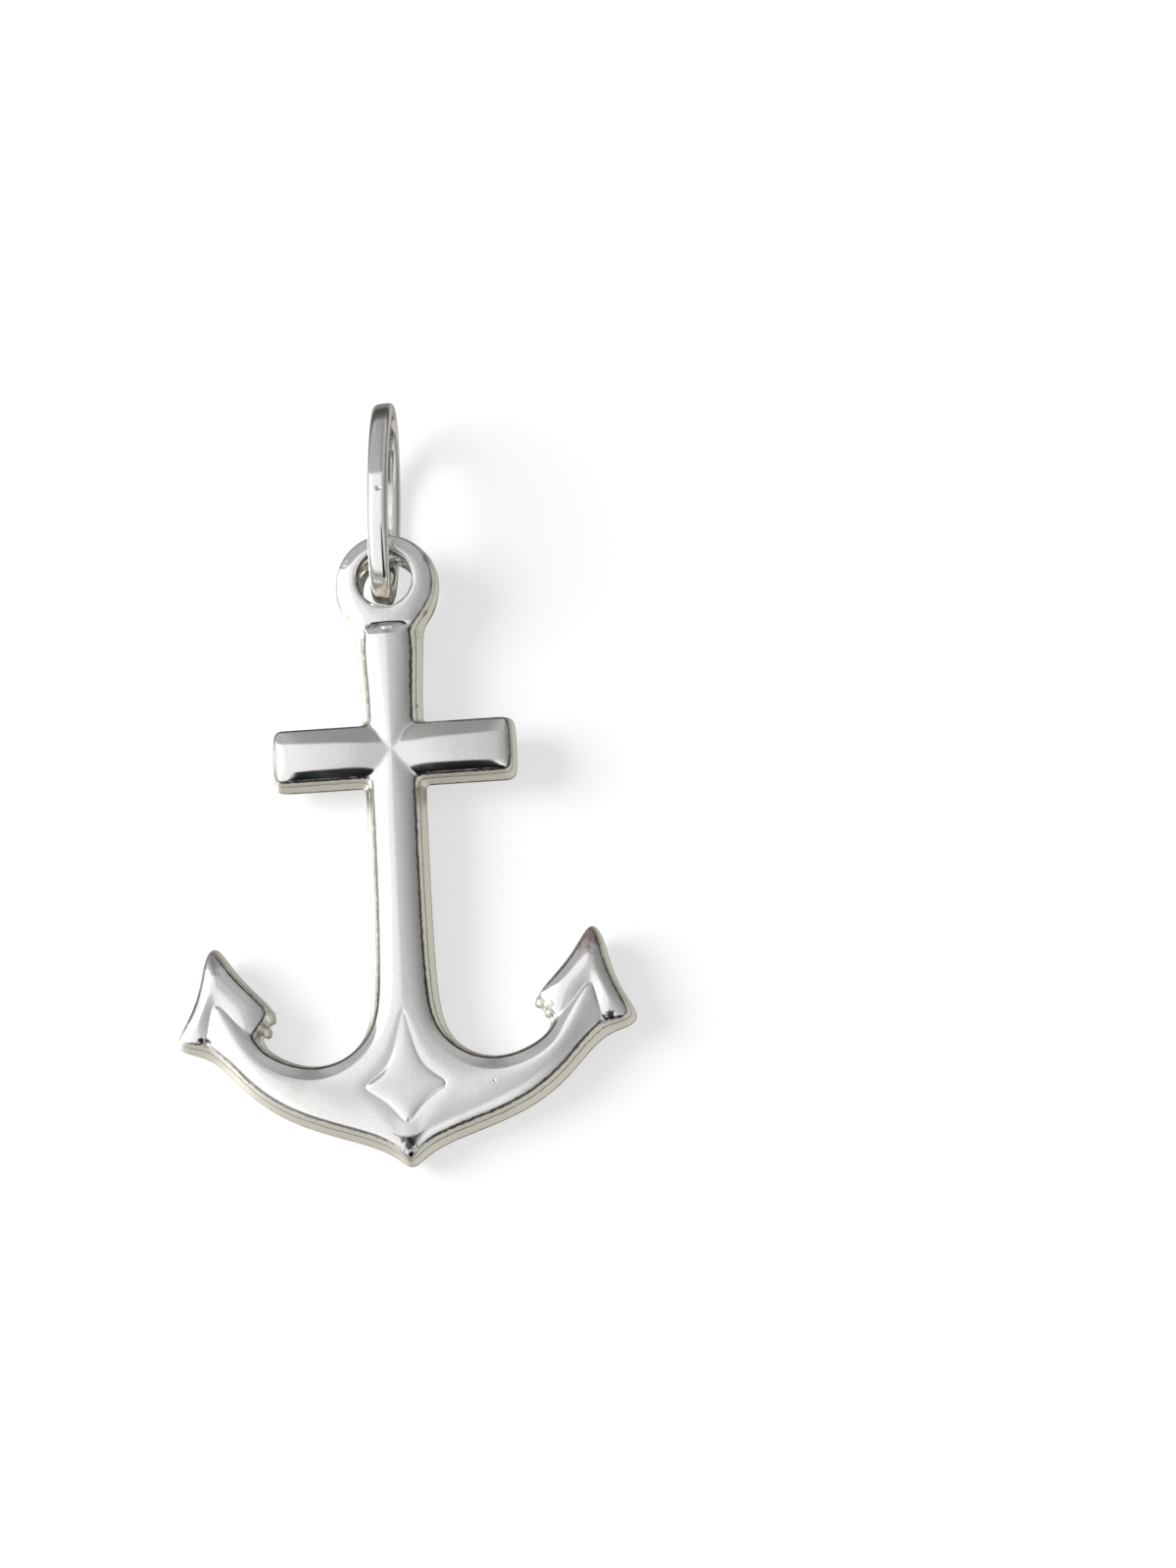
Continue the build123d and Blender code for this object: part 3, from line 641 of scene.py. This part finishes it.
def addSeamAndShade(tree, values, colour, high):
    upward = Matrix.Rotation(math.radians(anchorValues["tilt"]), 3, "X") @ Vector((0, 0, 1))
    middle = Vector(anchorValues["eyeMiddle"]) * mm + Vector((0, 0, lift))
    place = tree.nodes.new("ShaderNodeTexCoord").outputs["Object"]
    facing = tree.nodes.new("ShaderNodeNewGeometry").outputs["Normal"]

    def rise(socket):  # its part across the anchor's thickness
        product = tree.nodes.new("ShaderNodeVectorMath")
        product.operation = "DOT_PRODUCT"
        tree.links.new(socket, product.inputs[0])
        product.inputs[1].default_value = upward
        return product.outputs["Value"]

    aboveSeam = combine(tree, "SUBTRACT", rise(place), middle.dot(upward))
    share = combine(tree, "ABSOLUTE", combine(tree, "DIVIDE", aboveSeam, anchorValues["thickness"] / 2 * mm))
    uneven = combine(tree, "SUBTRACT", noise(tree, place, stainAndShadeValues["ragged"], 3), 0.5)
    height = combine(tree, "MULTIPLY_ADD", uneven, values["wobble"], share)
    onWall = ramp(tree, combine(tree, "ABSOLUTE", rise(facing)), values["steepness"])
    across = tree.nodes.new("ShaderNodeSeparateXYZ")
    tree.links.new(facing, across.inputs["Vector"])
    # painted light: walls that face the light on the left keep less of the dark lines
    lessTowardsLight = ramp(tree, across.outputs["X"], values["towardsLight"], values["towardsLightKeeps"])
    # the dark lines: a dark joint at the seam, and painted shade in the grooves halfway up and just under
    # the shoulder
    jointAndShade = combine(tree, "MULTIPLY", curveOver(tree, height, values["jointAndShade"], straight=True), onWall)
    jointAndShade = combine(tree, "MULTIPLY", jointAndShade, lessTowardsLight)
    relief = curveOver(tree, height, values["relief"], straight=True)
    return blend(tree, jointAndShade, colour, (*values["markAndShadeTone"], 1), "RGBA"), combine(tree, "ADD", high, relief)


def passOn(tree, shader):  # the silver throws the studio's light onto the paper beside it
    diffuse = tree.nodes.new("ShaderNodeLightPath").outputs["Is Diffuse Ray"]
    glow = blend(tree, diffuse, (0, 0, 0, 1), (*[silverValues["passedOn"]] * 3, 1), "RGBA")
    tree.links.new(glow, shader.inputs["Emission Color"])
    shader.inputs["Emission Strength"].default_value = 1.0


def makeSilver(name, finish, stainAndShade, marks, seamAndShade=None):
    material = bpy.data.materials.new(name)
    material.use_nodes = True
    tree = material.node_tree
    shader = tree.nodes["Principled BSDF"]
    shader.inputs["Metallic"].default_value = 1.0
    surface = tree.nodes.new("ShaderNodeGroup")
    surface.node_tree = finish
    colour, rough, high = surface.outputs
    if seamAndShade:
        colour, high = addSeamAndShade(tree, seamAndShade, colour, high)
    for at, radius, strength, markAndShadeTone, depth in marks:
        spot = tree.nodes.new("ShaderNodeGroup")
        spot.node_tree = stainAndShade
        for value, socket in zip((colour, rough, high), spot.inputs):
            tree.links.new(value, socket)
        spot.inputs["At"].default_value = Vector(at) * mm
        spot.inputs["Radius"].default_value = radius * mm
        spot.inputs["Strength"].default_value = strength
        spot.inputs["MarkAndShade"].default_value = (*markAndShadeTone, 1)
        spot.inputs["Depth"].default_value = depth
        colour, rough, high = spot.outputs
    passOn(tree, shader)
    bump = tree.nodes.new("ShaderNodeBump")
    bump.inputs["Distance"].default_value = mm
    tree.links.new(high, bump.inputs["Height"])
    tree.links.new(colour, shader.inputs["Base Color"])
    tree.links.new(rough, shader.inputs["Roughness"])
    tree.links.new(bump.outputs["Normal"], shader.inputs["Normal"])
    return material


solderValues = {
    "nubs": [  # place and half sizes: two on the left barb, three on the right one, one on the eye's fold
        ((-5.86, -10.16, 2.30), (0.30, 0.34, 0.42)), ((-6.00, -10.72, 1.95), (0.20, 0.26, 0.30)),
        ((5.92, -10.20, 2.35), (0.28, 0.28, 0.40)), ((6.20, -10.62, 2.10), (0.20, 0.22, 0.30)),
        ((6.42, -10.36, 2.78), (0.42, 0.30, 0.24)), ((-0.03, 7.00, 3.44), (0.31, 0.18, 0.13)),
    ],
    "lumps": 0.5,  # share of the smallest half size
    "lumpSize": 0.22,
    "colour": (0.97, 0.95, 0.87),
    "dulled": 0.92,
    "grain": (0.10, 0.004),
    "roughness": 0.6,
}


def makeSolder(values):
    material = bpy.data.materials.new("solder")
    material.use_nodes = True
    tree = material.node_tree
    shader = tree.nodes["Principled BSDF"]
    shader.inputs["Metallic"].default_value = 1.0
    shader.inputs["Roughness"].default_value = values["roughness"]
    grainSize, grainDepth = values["grain"]
    grain = noise(tree, tree.nodes.new("ShaderNodeTexCoord").outputs["Object"], grainSize, 2)
    dull = [part * values["dulled"] for part in values["colour"]]
    tree.links.new(mottled(tree, grain, dull, values["colour"]), shader.inputs["Base Color"])
    passOn(tree, shader)
    bump = tree.nodes.new("ShaderNodeBump")
    bump.inputs["Distance"].default_value = grainDepth * mm
    tree.links.new(grain, bump.inputs["Height"])
    tree.links.new(bump.outputs["Normal"], shader.inputs["Normal"])
    return material


def addNubs(values, piece):
    solder = makeSolder(values)
    lumps = bpy.data.textures.new("lumps", "CLOUDS")
    lumps.noise_scale = values["lumpSize"] * mm
    nubs = []
    for at, size in values["nubs"]:
        deselectAll()
        bpy.ops.mesh.primitive_ico_sphere_add(subdivisions=3, radius=1.0, location=(0, 0, 0))
        nub = bpy.context.object
        stretch = Matrix.Diagonal((*[part * mm for part in size], 1))
        nub.data.transform(Matrix.Translation(Vector(at) * mm) @ stretch)
        rough = nub.modifiers.new("lumps", "DISPLACE")
        rough.texture = lumps
        rough.texture_coords = "LOCAL"
        rough.strength = values["lumps"] * min(size) * mm
        bpy.ops.object.modifier_apply(modifier="lumps")
        bpy.ops.object.shade_flat()
        nub.data.materials.append(solder)
        nubs.append(nub)
    deselectAll()
    for nub in nubs:
        nub.select_set(True)
    piece.select_set(True)
    bpy.context.view_layer.objects.active = piece
    bpy.ops.object.join()


finish = makeSilverFinish(silverValues)
stainAndShade = makeStainAndShade(stainAndShadeValues)
anchor.data.materials.append(makeSilver("silver", finish, stainAndShade, stainAndShadeValues["anchor"], seamAndShadeValues))
addNubs(solderValues, anchor)
ring.data.materials.append(makeSilver("ringSilver", finish, stainAndShade, stainAndShadeValues["ring"]))
print("silver: done")


tableValues = {
    "size": 1.2,
    "colour": (0.95, 0.95, 0.955),
    "roughness": 0.8,
    "sheen": 0.1,
    "mirrored": (0.66, 0.64, 0.56),  # tone of it in the silver, where it works as glossy paper
    "gloss": 0.9,
    "glossRoughness": 0.32,
    # less of it seen straight down or along
    "bySlant": ((0.0, 0.0), (0.03, 0.5), (0.12, 1.0), (0.38, 1.0), (0.50, 0.6), (0.62, 0.28), (1.0, 1.0)),
}


def makePaper(values):
    paper = bpy.data.materials.new("paper")
    paper.use_nodes = True
    tree = paper.node_tree
    shader = tree.nodes["Principled BSDF"]
    shader.inputs["Specular IOR Level"].default_value = values["sheen"]
    glossy = tree.nodes.new("ShaderNodeLightPath").outputs["Is Glossy Ray"]
    slant = tree.nodes.new("ShaderNodeLayerWeight").outputs["Facing"]
    seen = curveOver(tree, slant, values["bySlant"])
    dimmed = blend(tree, seen, (0, 0, 0, 1), (*values["mirrored"], 1), "RGBA")
    tone = blend(tree, glossy, (*values["colour"], 1), dimmed, "RGBA")
    rough = ramp(tree, glossy, (0.0, 1.0), values["roughness"], values["glossRoughness"])
    tree.links.new(tone, shader.inputs["Base Color"])
    tree.links.new(ramp(tree, glossy, (0.0, 1.0), 0.0, values["gloss"]), shader.inputs["Metallic"])
    tree.links.new(rough, shader.inputs["Roughness"])
    return paper


deselectAll()
bpy.ops.mesh.primitive_plane_add(size=tableValues["size"], location=(0, 0, 0))
floor = bpy.context.object
floor.name = "tableTop"
floor.data.materials.append(makePaper(tableValues))
print("table: done")


# the studio round the charm, by where the silver looks: across and along are -1 to 1
lightValues = {
    "strength": 1.0,
    "shadowFill": 0.82,  # even light that the paper gets
    "leftToRight": (
        (-1.0, 1.4), (-0.5, 1.08), (-0.36, 0.96), (-0.24, 0.94), (-0.15, 0.88), (-0.04, 0.62), (0.1, 0.57),
        (0.25, 0.49), (0.45, 0.42), (0.65, 0.34), (0.8, 0.27), (1.0, 0.27),
    ),
    "nearRight": ((-0.2, 1.1), (0.1, 1.08), (0.2, 0.92), (0.33, 0.76), (0.5, 0.56), (0.9, 0.42)),
    "nearSide": (-0.06, 0.08),
    "nearEnd": (-0.62, -0.28),
    "farEnd": (
        (-1.0, 0.75), (-0.5, 0.44), (-0.3, 0.48), (-0.06, 0.30), (0.1, 0.41), (0.4, 0.46), (0.6, 0.36),
        (1.0, 0.15),
    ),
    "farFrom": (0.40, 0.44),
    "dark": 0.004,  # a slanted wedge towards the near end
    "darkLeft": -0.20,
    "darkRight": -0.17,
    "darkSpread": 0.45,
    "darkFrom": -0.375,
    "darkEdge": 0.03,
    "horizon": 0.3,
    "horizonHeight": (0.04, 0.24),
    "horizonEnd": (0.25, 0.45),  # not at the far end
    # what the paper shows of the studio in the silver, across and along
    "inPaper": (
        (-1.0, 0.98), (-0.6, 0.96), (-0.35, 0.74), (0.0, 0.60), (0.3, 0.84), (0.7, 0.84), (1.0, 0.70),
    ),
    "inPaperAlong": ((-1.0, 1.15), (-0.35, 1.05), (0.05, 1.0), (0.26, 0.95), (0.40, 0.42), (1.0, 0.33)),
    "inPaperAlongRight": ((-1.0, 1.15), (-0.35, 1.05), (0.05, 1.0), (0.50, 1.0), (0.62, 0.5), (1.0, 0.4)),
    "inPaperSide": (0.0, 0.12),
    "key": 3.0,
    "keyFrom": (-0.67, 0.10, 0.74),
    "keyDistance": 0.9,
    "keySize": 0.5,
}


def makeWorld(values):
    world = bpy.data.worlds.new("studio")
    bpy.context.scene.world = world
    world.use_nodes = True
    tree = world.node_tree
    background = tree.nodes["Background"]
    background.inputs["Strength"].default_value = values["strength"]
    direction = tree.nodes.new("ShaderNodeTexCoord")
    parts = tree.nodes.new("ShaderNodeSeparateXYZ")
    tree.links.new(direction.outputs["Generated"], parts.inputs["Vector"])
    across, along, up = parts.outputs

    def step(socket, fromTo, below=0.0, above=1.0):
        return ramp(tree, socket, fromTo, below, above, smooth=True)

    def times(first, second):
        return combine(tree, "MULTIPLY", first, second)

    def edge(place):
        return place - values["darkEdge"], place + values["darkEdge"]

    level = curveOver(tree, across, values["leftToRight"])
    nearer = times(step(along, values["nearEnd"], 1.0, 0.0), step(across, values["nearSide"]))
    level = blend(tree, nearer, level, curveOver(tree, across, values["nearRight"]))
    level = blend(tree, step(along, values["farFrom"]), level, curveOver(tree, across, values["farEnd"]))

    slanted = combine(tree, "MULTIPLY_ADD", along, values["darkSpread"], across)
    wedge = times(step(across, edge(values["darkLeft"])), step(slanted, edge(values["darkRight"]), 1.0, 0.0))
    wedge = times(wedge, step(along, edge(values["darkFrom"]), 1.0, 0.0))
    level = blend(tree, wedge, level, values["dark"])
    dimmed = times(level, step(up, values["horizonHeight"], values["horizon"], 1.0))
    level = blend(tree, step(along, values["horizonEnd"], 1.0, 0.0), level, dimmed)

    rays = tree.nodes.new("ShaderNodeLightPath").outputs
    leftAlong = curveOver(tree, along, values["inPaperAlong"])
    rightAlong = curveOver(tree, along, values["inPaperAlongRight"])
    byAlong = blend(tree, step(across, values["inPaperSide"]), leftAlong, rightAlong)
    inPaper = times(curveOver(tree, across, values["inPaper"]), byAlong)
    level = blend(tree, step(rays["Glossy Depth"], (1.4, 1.6)), level, inPaper)
    level = blend(tree, rays["Is Diffuse Ray"], level, values["shadowFill"])
    tree.links.new(level, background.inputs["Color"])


makeWorld(lightValues)
keyPlace = Vector(lightValues["keyFrom"]).normalized() * lightValues["keyDistance"]
bpy.ops.object.light_add(type="AREA", location=keyPlace)
key = bpy.context.object
key.data.shape = "DISK"
key.data.size = lightValues["keySize"]
key.data.energy = lightValues["key"]
key.rotation_euler = Vector(lightValues["keyFrom"]).to_track_quat("Z", "Y").to_euler()
print("light: done")


cameraValues = {
    "azimuth": 13.0,
    "elevation": 75.0,
    "roll": -16.33,
    "distance": 200.0,
    "lens": 104.998,
    "aim": (8.297, -0.301, 0.921),
}


def makeCamera(values):
    azimuth, elevation, roll = (math.radians(values[name]) for name in ("azimuth", "elevation", "roll"))
    flat = math.cos(elevation)
    back = Vector((math.sin(azimuth) * flat, -math.cos(azimuth) * flat, math.sin(elevation)))
    right = Vector((math.cos(azimuth), math.sin(azimuth), 0))
    up = back.cross(right)
    rightRolled = right * math.cos(roll) + up * math.sin(roll)
    upRolled = up * math.cos(roll) - right * math.sin(roll)
    data = bpy.data.cameras.new("photoView")
    data.sensor_fit = "VERTICAL"
    data.sensor_height = 36
    data.lens = values["lens"]
    data.clip_start = 0.01
    camera = bpy.data.objects.new("photoView", data)
    bpy.context.collection.objects.link(camera)
    turn = Matrix((rightRolled, upRolled, back)).transposed().to_4x4()
    camera.matrix_world = Matrix.Translation((Vector(values["aim"]) + back * values["distance"]) * mm) @ turn
    bpy.context.scene.camera = camera


makeCamera(cameraValues)
bpy.context.scene.view_settings.view_transform = "Standard"
print("camera: done")
